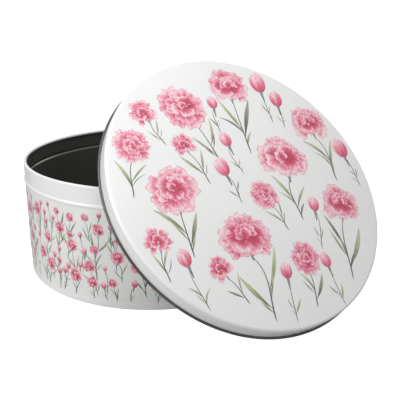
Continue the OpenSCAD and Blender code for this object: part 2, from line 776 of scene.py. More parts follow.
class Taper(Enum):
    """How the width of a brush stroke changes along it."""

    LEAF = "leaf"
    STEM = "stem"
    BUD = "bud"
    CALYX = "calyx"

    def width(self, along: float) -> float:
        """Gives the share of the full width at a place along the stroke.

        Args:
            along: Place along the stroke, from 0 to 1.

        Returns:
            The share, from 0 to 1.
        """
        if self is Taper.LEAF:
            return 0.05 + 0.95 * math.sin(math.pi * min(along, 1.0) ** 1.15) ** 1.1
        if self is Taper.STEM:
            return min(1.0, 0.25 + 7.0 * along) * (1.0 - 0.45 * along)
        if self is Taper.BUD:
            return math.sin(math.pi * (0.10 + 0.88 * along)) ** 0.75
        return 0.20 + 0.80 * along ** 1.5


class Kind(Enum):
    """What a stroke shows, as the mark that the leaf ink reads to tell a calyx from the rest."""

    PLAIN = 0.25
    CALYX = 1.0


@dataclass(frozen=True)
class PetalRing:
    """A ring of petals about one middle, in head widths.

    Each petal's root lies at the hub's distance from the middle, and its tip at the reach.
    """

    count: int
    middle: Pair
    hub: float
    reach: float
    spread: float
    first: float
    last: float
    tone: float = 0.5


class Head(Enum):
    """The flower heads, as rings of petals from the back to the front."""

    SIDE = (
        PetalRing(9, (0.0, 0.36), 0.12, 0.50, 60.0, -34.0, 214.0, 0.76),
        PetalRing(7, (0.0, 0.37), 0.04, 0.42, 60.0, -20.0, 204.0, 0.50),
        PetalRing(5, (-0.13, 0.38), 0.0, 0.29, 66.0, 30.0, 200.0, 0.62),
        PetalRing(4, (0.15, 0.36), 0.0, 0.30, 66.0, -20.0, 140.0, 0.50),
        PetalRing(5, (0.02, 0.42), -0.03, 0.23, 68.0, 0.0, 180.0, 0.56),
        PetalRing(3, (0.01, 0.43), -0.05, 0.13, 84.0, 40.0, 150.0, 0.72),
        PetalRing(4, (0.02, 0.38), 0.02, 0.37, 56.0, 226.0, 334.0, 0.62),
        PetalRing(3, (0.10, 0.38), 0.0, 0.27, 62.0, 240.0, 330.0, 0.36),
        PetalRing(2, (-0.08, 0.33), 0.0, 0.24, 84.0, 236.0, 282.0, 0.98),
    )
    TOP = (
        PetalRing(14, (0.0, 0.41), 0.14, 0.50, 46.0, 0.0, 334.0, 0.66),
        PetalRing(10, (0.0, 0.42), 0.08, 0.41, 50.0, 18.0, 342.0, 0.45),
        PetalRing(7, (0.02, 0.43), 0.02, 0.31, 56.0, 5.0, 305.0, 0.62),
        PetalRing(5, (0.05, 0.45), 0.0, 0.23, 62.0, -20.0, 160.0, 0.40),
        PetalRing(5, (-0.04, 0.42), -0.02, 0.19, 62.0, 60.0, 250.0, 0.62),
        PetalRing(4, (0.04, 0.41), -0.02, 0.15, 70.0, 200.0, 340.0, 0.52),
        PetalRing(4, (0.02, 0.44), -0.04, 0.09, 80.0, 20.0, 160.0, 0.84),
    )
    WIDE = (
        PetalRing(9, (0.02, 0.42), 0.10, 0.38, 60.0, 0.0, 180.0, 0.74),
        PetalRing(3, (-0.10, 0.37), 0.02, 0.41, 62.0, 160.0, 208.0, 0.82),
        PetalRing(3, (0.10, 0.37), 0.02, 0.41, 62.0, -34.0, 16.0, 0.68),
        PetalRing(7, (0.0, 0.44), 0.02, 0.28, 62.0, -10.0, 190.0, 0.50),
        PetalRing(5, (-0.12, 0.45), -0.02, 0.21, 66.0, 10.0, 190.0, 0.70),
        PetalRing(4, (0.14, 0.43), -0.02, 0.22, 66.0, -20.0, 160.0, 0.60),
        PetalRing(4, (0.02, 0.40), 0.0, 0.35, 60.0, 206.0, 330.0, 0.78),
        PetalRing(3, (0.10, 0.40), 0.0, 0.25, 66.0, 240.0, 330.0, 0.34),
        PetalRing(3, (0.0, 0.43), -0.05, 0.14, 84.0, 30.0, 180.0, 0.80),
    )
    OPEN = (
        PetalRing(7, (0.0, 0.40), 0.05, 0.49, 72.0, 0.0, 310.0, 0.66),
        PetalRing(6, (0.0, 0.41), 0.02, 0.38, 66.0, 25.0, 330.0, 0.54),
        PetalRing(5, (-0.04, 0.46), 0.0, 0.25, 64.0, 30.0, 200.0, 0.70),
        PetalRing(4, (0.07, 0.46), 0.0, 0.21, 66.0, 20.0, 160.0, 0.56),
        PetalRing(3, (0.08, 0.40), 0.0, 0.22, 66.0, 250.0, 350.0, 0.38),
        PetalRing(2, (0.02, 0.42), 0.0, 0.21, 70.0, 240.0, 292.0, 0.94),
        PetalRing(3, (0.0, 0.45), -0.02, 0.10, 84.0, 60.0, 180.0, 0.80),
    )
    POSY = (
        PetalRing(9, (0.0, 0.40), 0.12, 0.50, 46.0, -40.0, 220.0, 0.70),
        PetalRing(7, (0.0, 0.40), 0.02, 0.36, 50.0, -30.0, 210.0, 0.40),
        PetalRing(5, (0.02, 0.42), -0.02, 0.22, 60.0, 0.0, 180.0, 0.66),
        PetalRing(4, (0.02, 0.40), 0.02, 0.34, 48.0, 236.0, 334.0, 0.50),
        PetalRing(2, (-0.10, 0.36), 0.0, 0.20, 74.0, 230.0, 280.0, 0.95),
    )
    MINI = (
        PetalRing(8, (0.0, 0.40), 0.10, 0.50, 60.0, -40.0, 220.0, 0.74),
        PetalRing(5, (0.0, 0.42), 0.0, 0.36, 64.0, -10.0, 190.0, 0.36),
        PetalRing(3, (0.04, 0.44), -0.04, 0.20, 78.0, 30.0, 160.0, 0.86),
        PetalRing(3, (0.04, 0.40), 0.04, 0.36, 56.0, 236.0, 330.0, 0.20),
        PetalRing(2, (-0.10, 0.36), 0.0, 0.22, 78.0, 220.0, 280.0, 0.96),
    )
    BUD = ()


@dataclass(frozen=True)
class Sprig:
    """One flower on its stem, on a flat sheet.

    The place is that of the point where the head meets its stem. The lean is the direction
    from the stem's foot to the head, in degrees.
    """

    head: Head
    place: Pair
    size: float
    lean: float
    stem: float
    leaves: int = 2

    def out(self, x: float, y: float) -> Pair:
        """Turns a point of the upright sprig into a point of the sheet."""
        turn = math.radians(self.lean - UPRIGHT)
        return (self.place[0] + x * math.cos(turn) - y * math.sin(turn),
                self.place[1] + x * math.sin(turn) + y * math.cos(turn))


@dataclass
class InkFilm:
    """Strokes of one ink, each a small grid of faces a little above the one before it."""

    base: float
    step: float = 0.002 * MM
    points: list[tuple[float, float, float]] = field(default_factory=list)
    faces: list[list[int]] = field(default_factory=list)
    strokes: list[Pair] = field(default_factory=list)
    tones: list[Pair] = field(default_factory=list)
    homes: list[Pair] = field(default_factory=list)
    laid: int = 0

    STROKE_MAP = "stroke"
    TONE_MAP = "tone"

    def add(self, grid: list[list[Pair]], tone: float, kind: Kind, home: Pair,
            shades: Pair = (0.0, 1.0)) -> None:
        """Adds one stroke.

        Args:
            grid: Rows of points, from the stroke's root to its end.
            tone: How pale the stroke is, from 0 to 1.
            kind: What the stroke shows.
            home: Place of the sprig that the stroke belongs to.
            shades: Where on the ink's ramp the stroke starts and ends.
        """
        first = len(self.points)
        lift = self.base + self.laid * self.step
        rows, columns = len(grid), len(grid[0])
        for row, line in enumerate(grid):
            for column, (x, y) in enumerate(line):
                self.points.append((x, y, lift))
                self.strokes.append((column / (columns - 1), blend_numbers(*shades, row / (rows - 1))))
                self.tones.append((tone, kind.value))
                self.homes.append(home)
        for row in range(rows - 1):
            for column in range(columns - 1):
                corner = first + row * columns + column
                self.faces.append([corner, corner + 1, corner + columns + 1, corner + columns])
        self.laid += 1

    def lay(self, name: str, surface: "FlatSurface | WallSurface",
            ink: bpy.types.Material) -> bpy.types.Object:
        """Lays the film on a surface of the tin.

        Args:
            name: The piece's name.
            surface: The surface that it lies on.
            ink: The film's material.

        Returns:
            The new object.
        """
        mesh = bpy.data.meshes.new(name)
        mesh.from_pydata([surface.place(*point) for point in self.points], [], self.faces)
        mesh.materials.append(ink)
        mesh.polygons.foreach_set("use_smooth", [True] * len(self.faces))
        spots = [surface.spot(point[:2], home) for point, home in zip(self.points, self.homes)]
        corners = [number for face in self.faces for number in face]
        for label, values in (("OFBake", spots), (self.STROKE_MAP, self.strokes),
                              (self.TONE_MAP, self.tones)):
            layer = mesh.uv_layers.new(name=label)
            layer.data.foreach_set("uv", [v for number in corners for v in values[number]])
        mesh.update()
        piece = bpy.data.objects.new(name, mesh)
        bpy.context.scene.collection.objects.link(piece)
        return piece


@dataclass(frozen=True)
class FlatSurface:
    """The lid's panel: x and y run across it from its middle."""

    origin: Vector
    across: Vector
    up: Vector
    normal: Vector
    radius: float

    def place(self, x: float, y: float, lift: float) -> Vector:
        """Gives the point in space of a point of the print."""
        return self.origin + self.across * x + self.up * y + self.normal * lift

    def spot(self, point: Pair, home: Pair) -> Pair:
        """Gives the place of a point of the print on its square map."""
        return 0.5 + 0.5 * point[0] / self.radius, 0.5 + 0.5 * point[1] / self.radius


@dataclass(frozen=True)
class WallSurface:
    """The tin's wall: x runs round it, y is the height above the surface it stands on."""

    centre: Vector
    radius: float
    low: float
    high: float
    sectors: int = 3
    margin: float = 0.08
    row_margin: float = 0.03

    def place(self, x: float, y: float, lift: float) -> Vector:
        """Gives the point in space of a point of the print."""
        angle = x / self.radius
        reach = self.radius + lift
        return self.centre + Vector((reach * math.cos(angle), reach * math.sin(angle), y))

    def spot(self, point: Pair, home: Pair) -> Pair:
        """Gives the place of a point of the print on a square map with one row a sector."""
        length = FULL_TURN * self.radius / self.sectors
        sector = math.floor((home[0] / length) % self.sectors)
        start = sector * length + math.floor(home[0] / (length * self.sectors)) * length * self.sectors
        along = blend_numbers(self.margin, 1.0 - self.margin, (point[0] - start) / length)
        height = (point[1] - self.low) / (self.high - self.low)
        row = blend_numbers(self.row_margin, 1.0 - self.row_margin, height)
        return along, (sector + row) / self.sectors


@dataclass(frozen=True)
class LeafHabit:
    """How one leaf of a sprig grows, in stem lengths and degrees."""

    foot: Pair
    reach: Pair
    out: Pair
    slim: Pair


@dataclass
class FlowerPainter:
    """Paints sprigs of carnations as strokes of pink and green ink."""

    seed: int
    petal_rows: int = 6
    teeth: Pair = (5, 8)
    leaf_rows: int = 12
    stem_least: float = 0.42 * MM
    stem_share: float = 0.018
    stem_sway: float = 0.24
    head_cup: tuple[float, float, float] = (0.05, 0.08, 0.16)
    turn_jitter: float = 0.32
    hub_jitter: float = 0.02
    petal_reach: Pair = (0.82, 1.06)
    petal_spread: Pair = (0.85, 1.2)
    petal_tone: float = 0.22
    petal_waves: Pair = (1.6, 3.2)
    petal_bend: float = 10.0
    petal_cuts: Pair = (0.01, 0.08)
    edge_fall: float = 0.28
    wave_depth: float = 0.07
    fan_out: float = 0.15
    row_crowding: float = 0.8
    cup_sway: float = 0.02
    cup_tone: Pair = (0.3, 0.8)
    cup_rows: int = 6
    bud_tip: float = 0.10
    bud_tone: float = 0.15
    bud_rows: int = 9
    bud_overlap: float = 0.14
    bud_shades: Pair = (0.34, 0.98)
    stem_tone: Pair = (0.4, 1.0)
    stem_shades: Pair = (0.0, 0.45)
    leaf_bow: Pair = (-0.8, 1.2)
    olive_bias: float = 1.7
    cup_length: tuple[float, float, float] = (0.85, 0.30, 4.5 * MM)
    cup_width: tuple[float, float, float] = (0.38, 0.14, 2.2 * MM)
    blooms: InkFilm = field(default_factory=lambda: InkFilm(base=0.08 * MM))
    greens: InkFilm = field(default_factory=lambda: InkFilm(base=0.03 * MM))
    flower_leaves: tuple[LeafHabit, ...] = (
        LeafHabit((0.50, 0.62), (0.62, 0.86), (24.0, 40.0), (0.08, 0.11)),
        LeafHabit((0.70, 0.84), (0.62, 0.86), (18.0, 34.0), (0.08, 0.12)),
        LeafHabit((0.62, 0.78), (0.40, 0.60), (26.0, 44.0), (0.06, 0.09)),
        LeafHabit((0.82, 0.92), (0.30, 0.46), (14.0, 34.0), (0.09, 0.13)),
        LeafHabit((0.56, 0.70), (0.26, 0.40), (8.0, 20.0), (0.05, 0.08)),
    )
    bud_leaves: tuple[LeafHabit, ...] = (
        LeafHabit((0.62, 0.76), (0.26, 0.44), (20.0, 44.0), (0.07, 0.11)),
        LeafHabit((0.74, 0.88), (0.30, 0.46), (18.0, 36.0), (0.08, 0.13)),
        LeafHabit((0.80, 0.92), (0.16, 0.30), (14.0, 40.0), (0.06, 0.10)),
        LeafHabit((0.56, 0.70), (0.14, 0.26), (24.0, 48.0), (0.06, 0.10)),
    )

    def __post_init__(self) -> None:
        """Starts the painter's own run of random numbers."""
        self.dice = random.Random(self.seed)

    def paint(self, sprigs: Iterable[Sprig]) -> None:
        """Paints each sprig in turn."""
        for sprig in sprigs:
            self.blooms.laid = 0
            self.greens.laid = 0
            self._stem_and_leaves(sprig)
            if sprig.head is Head.BUD:
                self._bud(sprig)
            else:
                self._head(sprig)

    def _head(self, sprig: Sprig) -> None:
        """Paints an open head, ring by ring."""
        self._calyx(sprig, *(share * sprig.size for share in self.head_cup))
        for ring in sprig.head.value:
            gap = (ring.last - ring.first) / (ring.count - 1)
            order = list(range(ring.count))
            self.dice.shuffle(order)
            for number in order:
                jitter = self.dice.uniform(-self.turn_jitter, self.turn_jitter)
                direction = ring.first + gap * (number + jitter)
                turn = math.radians(direction)
                hub = ring.hub + self.dice.uniform(-self.hub_jitter, self.hub_jitter)
                root = (ring.middle[0] + hub * math.cos(turn), ring.middle[1] + hub * math.sin(turn))
                length = (ring.reach - hub) * self.dice.uniform(*self.petal_reach)
                spread = ring.spread * self.dice.uniform(*self.petal_spread)
                tone = ring.tone + self.dice.uniform(-self.petal_tone, self.petal_tone)
                self._petal(sprig, root, direction, length, spread, tone)

    def _petal(self, sprig: Sprig, root: Pair, direction: float, reach: float,
               spread: float, tone: float) -> None:
        """Paints one petal with a waved, toothed edge.

        Args:
            sprig: The sprig that it belongs to.
            root: The petal's root, in head widths.
            direction: Where the petal points, in degrees.
            reach: The petal's length, in head widths.
            spread: Angle that the petal fans over, in degrees.
            tone: How pale it is.
        """
        waves = self.dice.uniform(*self.petal_waves)
        phase = self.dice.uniform(0.0, FULL_TURN)
        columns = 2 * self.dice.randint(*self.teeth)
        bend = self.dice.uniform(-self.petal_bend, self.petal_bend)
        cuts = [self.dice.uniform(*self.petal_cuts) if column % 2 else 0.0
                for column in range(columns + 1)]
        grid = []
        for row in range(self.petal_rows + 1):
            along = (row / self.petal_rows) ** self.row_crowding
            line = []
            for column in range(columns + 1):
                side = 2.0 * column / columns - 1.0
                wave = self.wave_depth * math.sin(waves * math.pi * side + phase)
                edge = self.edge_fall * abs(side) ** 3.0 - wave + cuts[column]
                length = reach * along * (1.0 - edge * along ** 3)
                fan = 0.5 * spread * side * (1.0 + self.fan_out * along)
                angle = math.radians(direction + fan + bend * along ** 2)
                line.append(sprig.out((root[0] + length * math.cos(angle)) * sprig.size,
                                      (root[1] + length * math.sin(angle)) * sprig.size))
            grid.append(line)
        self.blooms.add(grid, min(max(tone, 0.0), 1.0), Kind.PLAIN, sprig.place)

    def _ribbon(self, film: InkFilm, sprig: Sprig, bones: Sequence[Pair], width: float,
                taper: Taper, tone: float, kind: Kind = Kind.PLAIN, rows: int | None = None,
                shades: Pair = (0.0, 1.0)) -> None:
        """Paints a stroke along a bent line.

        Args:
            film: The ink that it is painted in.
            sprig: The sprig that it belongs to.
            bones: Start, two handles and end of the line, on the upright sprig.
            width: The stroke's greatest width.
            taper: How the width changes.
            tone: How pale it is.
            kind: What it shows.
            rows: Number of steps along it.
            shades: Where on the ink's ramp it starts and ends.
        """
        steps = rows or self.leaf_rows
        spots = []
        for row in range(steps + 1):
            t = row / steps
            shares = ((1 - t) ** 3, 3 * t * (1 - t) ** 2, 3 * t * t * (1 - t), t ** 3)
            spots.append(tuple(sum(share * bone[i] for share, bone in zip(shares, bones))
                               for i in (0, 1)))
        grid = []
        for row, (x, y) in enumerate(spots):
            before, after = spots[max(row - 1, 0)], spots[min(row + 1, steps)]
            dx, dy = after[0] - before[0], after[1] - before[1]
            half = 0.5 * width * taper.width(row / steps) / (math.hypot(dx, dy) or 1.0)
            grid.append([sprig.out(x - dy * half * side, y + dx * half * side)
                         for side in (1.0, 0.4, -0.4, -1.0)])
        film.add(grid, tone, kind, sprig.place, shades)

    def _calyx(self, sprig: Sprig, length: float, width: float, overlap: float) -> None:
        """Paints the cup under a head.

        Args:
            sprig: The sprig that it belongs to.
            length: How far the cup hangs below the head.
            width: The cup's width at its mouth.
            overlap: How far the cup reaches up behind the petals.
        """
        sway = self.dice.uniform(-self.cup_sway, self.cup_sway) * sprig.size
        bones = ((0.0, -length), (sway, -0.5 * length), (sway, 0.0), (0.0, overlap))
        self._ribbon(self.greens, sprig, bones, width, Taper.CALYX,
                     self.dice.uniform(*self.cup_tone), Kind.CALYX, rows=self.cup_rows)

    def _bud(self, sprig: Sprig) -> None:
        """Paints a closed bud and its long cup."""
        size = sprig.size
        length, width = (min(small * size, large * size + base)
                         for small, large, base in (self.cup_length, self.cup_width))
        self._calyx(sprig, length, width, self.bud_overlap * size)
        tip = self.dice.uniform(-self.bud_tip, self.bud_tip)
        # Each petal has a side, a height, a width and a tone; the first and last lean at random
        petals = [(self.dice.uniform(-0.2, 0.2), 1.14, 0.50, 0.86), (-0.62, 1.0, 0.46, 0.74),
                  (0.62, 1.03, 0.46, 0.50), (self.dice.uniform(-0.25, 0.25), 0.84, 0.38, 0.70)]
        for side, height, width, tone in petals:
            bones = ((0.06 * side * size, 0.0), (0.44 * side * size, 0.25 * height * size),
                     (0.42 * side * size, 0.75 * height * size),
                     ((tip + 0.30 * side) * size, height * size))
            self._ribbon(self.blooms, sprig, bones, width * size, Taper.BUD,
                         min(max(tone + self.dice.uniform(-self.bud_tone, self.bud_tone), 0.0), 1.0),
                         rows=self.bud_rows, shades=self.bud_shades)

    def _stem_and_leaves(self, sprig: Sprig) -> None:
        """Paints a bent stem and the narrow leaves on it."""
        length = sprig.stem
        if length <= 0.0:
            return
        sway = self.dice.uniform(-self.stem_sway, self.stem_sway) * length
        bones = ((0.0, -length), (0.0, -0.66 * length), (sway, -0.33 * length), (0.0, 0.0))
        side = self.dice.choice((-1.0, 1.0))
        habits = self.bud_leaves if sprig.head is Head.BUD else self.flower_leaves
        for habit in habits[:sprig.leaves]:
            self._leaf(sprig, habit, side, sway)
            side = -side
        thick = self.stem_least + self.stem_share * min(sprig.size, length)
        self._ribbon(self.greens, sprig, bones, thick, Taper.STEM,
                     self.dice.uniform(*self.stem_tone), shades=self.stem_shades)

    def _leaf(self, sprig: Sprig, habit: LeafHabit, side: float, sway: float) -> None:
        """Paints one leaf that grows up from the stem.

        Args:
            sprig: The sprig that it belongs to.
            habit: How the leaf grows.
            side: Minus one for the left of the stem, one for the right.
            sway: How far the stem bends aside.
        """
        share = self.dice.uniform(*habit.foot)
        foot = (3.0 * share * (1.0 - share) ** 2 * sway, -share * sprig.stem)
        reach = self.dice.uniform(*habit.reach) * sprig.stem
        out = self.dice.uniform(*habit.out)
        bow = self.dice.uniform(*self.leaf_bow)
        bones = [foot]
        for place, lean in ((0.34, out * (1.0 - 0.8 * bow)), (0.70, out * (1.0 - 0.2 * bow)),
                            (1.0, out * (1.0 + 0.12 * bow))):
            turn = math.radians(UPRIGHT - side * lean)
            bones.append((foot[0] + place * reach * math.cos(turn),
                          foot[1] + place * reach * math.sin(turn)))
        self._ribbon(self.greens, sprig, bones, self.dice.uniform(*habit.slim) * reach,
                     Taper.LEAF, self.dice.random() ** self.olive_bias)


# ---------------------------------------------------------------------------
# The tin's pieces
# ---------------------------------------------------------------------------

@dataclass
class TinBody:
    """The rolled wall: rim, plain neck, bead, printed wall and foot."""

    sheet: float = SHEET
    rim_roll: float = 1.0 * MM
    rim_roll_end: float = 300.0
    bead_drop: float = 12.8 * MM
    bead_out: float = 0.6 * MM
    bead_half: float = 1.3 * MM
    foot_turn: float = 1.4 * MM
    foot_flat: float = 1.6 * MM
    hook_top: float = 2.475 * MM
    lap_azimuth: float = 20.0
    lap_width: float = 5.0 * MM
    print_foot: float = 5.0 * MM

    def __post_init__(self) -> None:
        """Takes the wall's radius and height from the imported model."""
        low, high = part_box("body_wall")
        self.height = high.z - low.z
        self.radius = (high.x - low.x) / 2.0 - self.bead_out
        self.centre = Vector(((low.x + high.x) / 2.0, (low.y + high.y) / 2.0, low.z))
        self.bead_height = self.height - self.bead_drop

    def line(self) -> list[Pair]:
        """Draws the middle line of the wall's section, from the hook to the rim's roll.

        Returns:
            The line's points.
        """
        half = self.sheet / 2.0
        wall = self.radius - half
        foot = (self.radius - self.foot_turn, self.foot_turn)
        hook = (foot[0] - self.foot_flat, self.foot_turn)
        turn = self.foot_turn - half
        bead_radius = (self.bead_half ** 2 + self.bead_out ** 2) / (2.0 * self.bead_out)
        bead_angle = math.degrees(math.asin(self.bead_half / bead_radius))
        bead = (wall + self.bead_out - bead_radius, self.bead_height)
        rim = (self.radius - self.rim_roll, self.height - self.rim_roll)
        return ([(hook[0] - turn, self.hook_top)] + arc(hook, turn, 180.0, 270.0)
                + arc(foot, turn, 270.0, 360.0)
                + arc(bead, bead_radius, -bead_angle, bead_angle)
                + arc(rim, self.rim_roll - half, 0.0, self.rim_roll_end, ROLL_STEPS))

    def build(self) -> None:
        """Makes the wall and its side lap."""
        up = Vector((0.0, 0.0, 1.0))
        enamel = Enamel(ground_low=self.print_foot,
                        ground_high=self.bead_height - self.bead_half).build("tin enamel")
        lacquer = Lacquer().build("inner lacquer")
        shell = TurnedShell(SheetSection(self.line(), self.sheet), self.centre, up)
        wall = shell.build("tin_wall", lacquer, enamel)
        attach(wall, "tin")
        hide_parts("body_wall")
        LOG.info("tin_wall: %d faces", len(wall.data.polygons))
        inner = self.radius - 1.5 * self.sheet
        lap_line = [(inner, self.foot_turn), (inner, self.bead_height - self.bead_half - self.sheet)]
        turn = math.degrees(self.lap_width / self.radius)
        lap_shell = TurnedShell(SheetSection(lap_line, self.sheet), self.centre, up, segments=8,
                                start_deg=self.lap_azimuth - turn / 2.0, turn_deg=turn)
        lap = lap_shell.build("side_lap", lacquer, lacquer)
        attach(lap, "tin")
        LOG.info("side_lap: %d faces", len(lap.data.polygons))

    def surface(self) -> WallSurface:
        """Gives the wall as a surface to print on."""
        return WallSurface(self.centre, self.radius, 0.0, self.bead_height - self.bead_half)


@dataclass
class BottomEnd:
    """The pressed bottom, clasped over the wall's hook."""

    sheet: float = SHEET
    clasp_turn: float = SHEET
    step_radii: tuple[float, ...] = (0.25, 0.5, 0.75)

    def build(self) -> None:
        """Makes the bottom with lacquer inside and bare tinplate underneath."""
        low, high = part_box("bottom_end")
        half = self.sheet / 2.0
        radius = (high.x - low.x) / 2.0 - half
        middle = high.z - half
        centre = Vector(((low.x + high.x) / 2.0, (low.y + high.y) / 2.0, 0.0))
        line = ([(0.0, middle)] + [(radius * share, middle) for share in self.step_radii]
                + arc((radius - self.clasp_turn, middle - self.clasp_turn), self.clasp_turn, 90.0, 0.0)
                + [(radius, low.z)])
        shell = TurnedShell(SheetSection(line, self.sheet), centre, Vector((0.0, 0.0, 1.0)))
        piece = shell.build("bottom_panel", Lacquer().build("bottom lacquer"),
                            Tinplate().build("bare tinplate"))
        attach(piece, "tin")
        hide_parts("bottom_end")
        LOG.info("bottom_panel: %d faces", len(piece.data.polygons))


@dataclass
class Lid:
    """The drawn lid: flat panel, rounded shoulder, skirt and outward curl."""

    sheet: float = SHEET
    depth: float = 11.0 * MM
    shoulder: float = 1.6 * MM
    curl: float = 0.8 * MM
    curl_end: float = 490.0
    step_radii: tuple[float, ...] = (0.2, 0.4, 0.6, 0.8)

    def __post_init__(self) -> None:
        """Takes the lid's radius and place from its box and the way it lifts."""
        low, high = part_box("lid")
        self.axis = Vector(frame["joints"][0]["axis"]).normalized()
        curl_ring = (high.x - low.x) / 2.0 - self.curl
        self.skirt = curl_ring - self.curl
        self.across = Vector((1.0, 0.0, 0.0))
        self.up = self.axis.cross(self.across)
        drop = self.depth - self.sheet - self.curl
        ring_centre_z = low.z + self.curl + curl_ring * self.up.z
        ring_centre_y = high.y - self.curl - curl_ring * self.up.y
        ring_centre = Vector(((low.x + high.x) / 2.0, ring_centre_y, ring_centre_z))
        self.origin = ring_centre + self.axis * drop
        self.curl_ring = curl_ring

    def line(self) -> list[Pair]:
        """Draws the middle line of the lid's section, from the panel's middle to the curl.

        Returns:
            The line's points.
        """
        half = self.sheet / 2.0
        shoulder = (self.skirt + self.sheet - self.shoulder, self.sheet - self.shoulder)
        curl = (self.curl_ring, self.sheet - self.depth + self.curl)
        return ([(0.0, half)] + [(self.skirt * share, half) for share in self.step_radii]
                + arc(shoulder, self.shoulder - half, 90.0, 0.0)
                + arc(curl, self.curl - half, 180.0, self.curl_end, ROLL_STEPS))

    def build(self) -> None:
        """Makes the lid with enamel outside, and lacquer inside and on its curl."""
        shell = TurnedShell(SheetSection(self.line(), self.sheet), self.origin, self.axis)
        lacquer = Lacquer(dark=linear(46, 46, 45), light=linear(56, 56, 54))
        piece = shell.build("lid_shell", Enamel().build("lid enamel"),
                            lacquer.build("lid lacquer"))
        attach(piece, "lid")
        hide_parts("lid")
        LOG.info("lid_shell: %d faces", len(piece.data.polygons))

    def panel_radius(self) -> float:
        """Gives the radius of the panel's flat."""
        return self.skirt + self.sheet - self.shoulder

    def surface(self) -> FlatSurface:
        """Gives the panel as a surface to print on."""
        return FlatSurface(self.origin + self.axis * self.sheet, self.across, self.up, self.axis,
                           self.panel_radius())


@dataclass(frozen=True)
class SprigKind:
    """One kind of sprig in the lid's print. Sizes and stems are shares of the panel's radius."""

    head: Head
    count: int
    sizes: Pair
    stems: Pair
    leaves: int


@dataclass
class LidPrint:
    """Carnations and buds spread evenly over the lid's panel.

    A sprig's ground is three discs, over its head, its leaves and its foot. Each disc is given
    by its height above the place where the head meets the stem, and by its radius, in head
    widths for the head's disc and in stem lengths for the others.
    """

    lid: Lid
    seed: int = 28
    tries: int = 300
    lean: float = 22.0
    edge_care: float = 2.5
    open_head: Pair = (0.42, 0.50)
    bud_head: Pair = (0.55, 0.42)
    stem_discs: tuple[Pair, ...] = ((-0.45, 0.24), (-0.90, 0.08))
    kinds: tuple[SprigKind, ...] = (
        SprigKind(Head.WIDE, 1, (0.44, 0.48), (0.30, 0.38), 5),
        SprigKind(Head.OPEN, 2, (0.36, 0.41), (0.26, 0.34), 4),
        SprigKind(Head.SIDE, 4, (0.32, 0.41), (0.36, 0.48), 5),
        SprigKind(Head.TOP, 3, (0.22, 0.27), (0.18, 0.28), 3),
        SprigKind(Head.POSY, 4, (0.18, 0.22), (0.18, 0.26), 3),
        SprigKind(Head.BUD, 2, (0.14, 0.19), (0.26, 0.34), 3),
        SprigKind(Head.BUD, 8, (0.08, 0.12), (0.18, 0.30), 3),
    )

    def sprigs(self) -> list[Sprig]:
        """Finds a place for each sprig, the roomiest of many random ones.

        Returns:
            The sprigs, in the order in which they are painted.
        """
        dice = random.Random(self.seed)
        reach = self.lid.panel_radius()
        sprigs: list[Sprig] = []
        for kind in self.kinds:
            for _ in range(kind.count):
                size = dice.uniform(*kind.sizes) * reach
                stem = dice.uniform(*kind.stems) * reach
                choices = []
                for _ in range(self.tries):
                    far, turn = reach * math.sqrt(dice.random()), dice.uniform(0.0, FULL_TURN)
                    place = (far * math.cos(turn), far * math.sin(turn))
                    lean = UPRIGHT + dice.uniform(-self.lean, self.lean)
                    choices.append(Sprig(kind.head, place, size, lean, stem, kind.leaves))
                taken = [disc for sprig in sprigs for disc in self._ground(sprig)]
                sprigs.append(max(choices, key=lambda choice: self._room(choice, taken)))
        return sprigs

    def _ground(self, sprig: Sprig) -> list[tuple[Pair, float]]:
        """Covers a sprig with discs.

        Args:
            sprig: The sprig.

        Returns:
            Each disc's middle and radius.
        """
        rise, radius = self.bud_head if sprig.head is Head.BUD else self.open_head
        return ([(sprig.out(0.0, rise * sprig.size), radius * sprig.size)]
                + [(sprig.out(0.0, height * sprig.stem), share * sprig.stem)
                   for height, share in self.stem_discs])

    def _room(self, sprig: Sprig, taken: list[tuple[Pair, float]]) -> float:
        """Measures the gap round a sprig, to the others and to the panel's edge.

        Args:
            sprig: The sprig.
            taken: Discs of the sprigs that are there already.

        Returns:
            The smaller gap, where the gap to the edge counts for more than its length.
        """
        reach = self.lid.panel_radius()
        ground = self._ground(sprig)
        edge = min(reach - math.hypot(*middle) - radius for middle, radius in ground)
        near = min((math.dist(middle, other) - radius - width
                    for middle, radius in ground for other, width in taken), default=reach)
        return min(near, self.edge_care * edge)

    def build(self, petals: bpy.types.Material, leaves: bpy.types.Material) -> None:
        """Paints the sprigs and lays both inks on the panel."""
        painter = FlowerPainter(self.seed)
        painter.paint(self.sprigs())
        for name, film, ink, slot in (("lid_flowers", painter.blooms, petals, "flower_ink"),
                                      ("lid_leaves", painter.greens, leaves, "leaf_ink")):
            piece = film.lay(name, self.lid.surface(), ink)
            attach(piece, "lid")
            LOG.info("%s: %d faces", name, len(piece.data.polygons))


